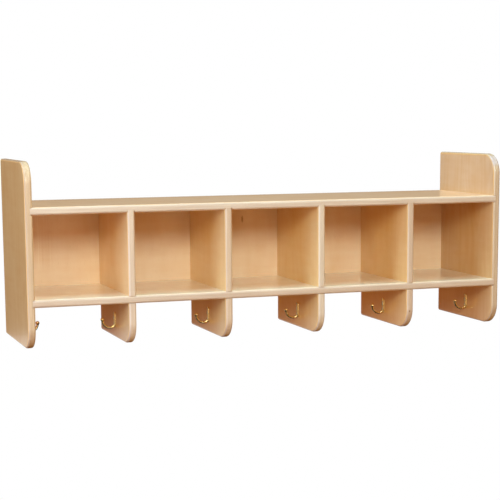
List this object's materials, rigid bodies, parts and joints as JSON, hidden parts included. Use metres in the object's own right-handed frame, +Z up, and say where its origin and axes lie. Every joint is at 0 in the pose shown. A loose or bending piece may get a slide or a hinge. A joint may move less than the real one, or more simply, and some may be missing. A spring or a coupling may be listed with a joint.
{
  "type": "school locker",
  "caption": "Wall-hung school locker in pale plywood: a row of open cubbies under a top shelf with raised rounded ends, over open bays with brass coat hooks.",
  "frame": {"origin": "middle of the line of wall-screw holes, on the rear face that lies against the wall", "axes": "+X to the right along the width as seen from the front, +Y into the wall, +Z up"},
  "size_m": [1.219, 0.3048, 0.435],
  "materials": {
    "side_ply": "clear satin lacquer on birch plywood",
    "shelf_ply": "clear satin lacquer on birch plywood",
    "divider_ply": "clear satin lacquer on birch plywood",
    "back_ply": "clear satin lacquer on birch plywood",
    "hook_brass": "polished and lacquered",
    "screw_brass": "bright",
    "dowel_beech": "bare",
    "screw_zinc": "zinc plated"
  },
  "bodies": {
    "root": {"left_side": "side_ply", "right_side": "side_ply", "top_shelf": "shelf_ply", "bottom_shelf": "shelf_ply", "divider_1": "divider_ply", "divider_2": "divider_ply", "divider_3": "divider_ply", "divider_4": "divider_ply", "back_panel": "back_ply", "bay_1_left_hook": "hook_brass", "bay_1_right_hook": "hook_brass", "bay_2_left_hook": "hook_brass", "bay_2_right_hook": "hook_brass", "bay_3_left_hook": "hook_brass", "bay_3_right_hook": "hook_brass", "bay_4_left_hook": "hook_brass", "bay_4_right_hook": "hook_brass", "bay_5_left_hook": "hook_brass", "bay_5_right_hook": "hook_brass", "hook_screws": "screw_brass", "shelf_dowels": "dowel_beech", "divider_dowels": "dowel_beech", "back_screws": "screw_zinc"}
  },
  "joints": []
}
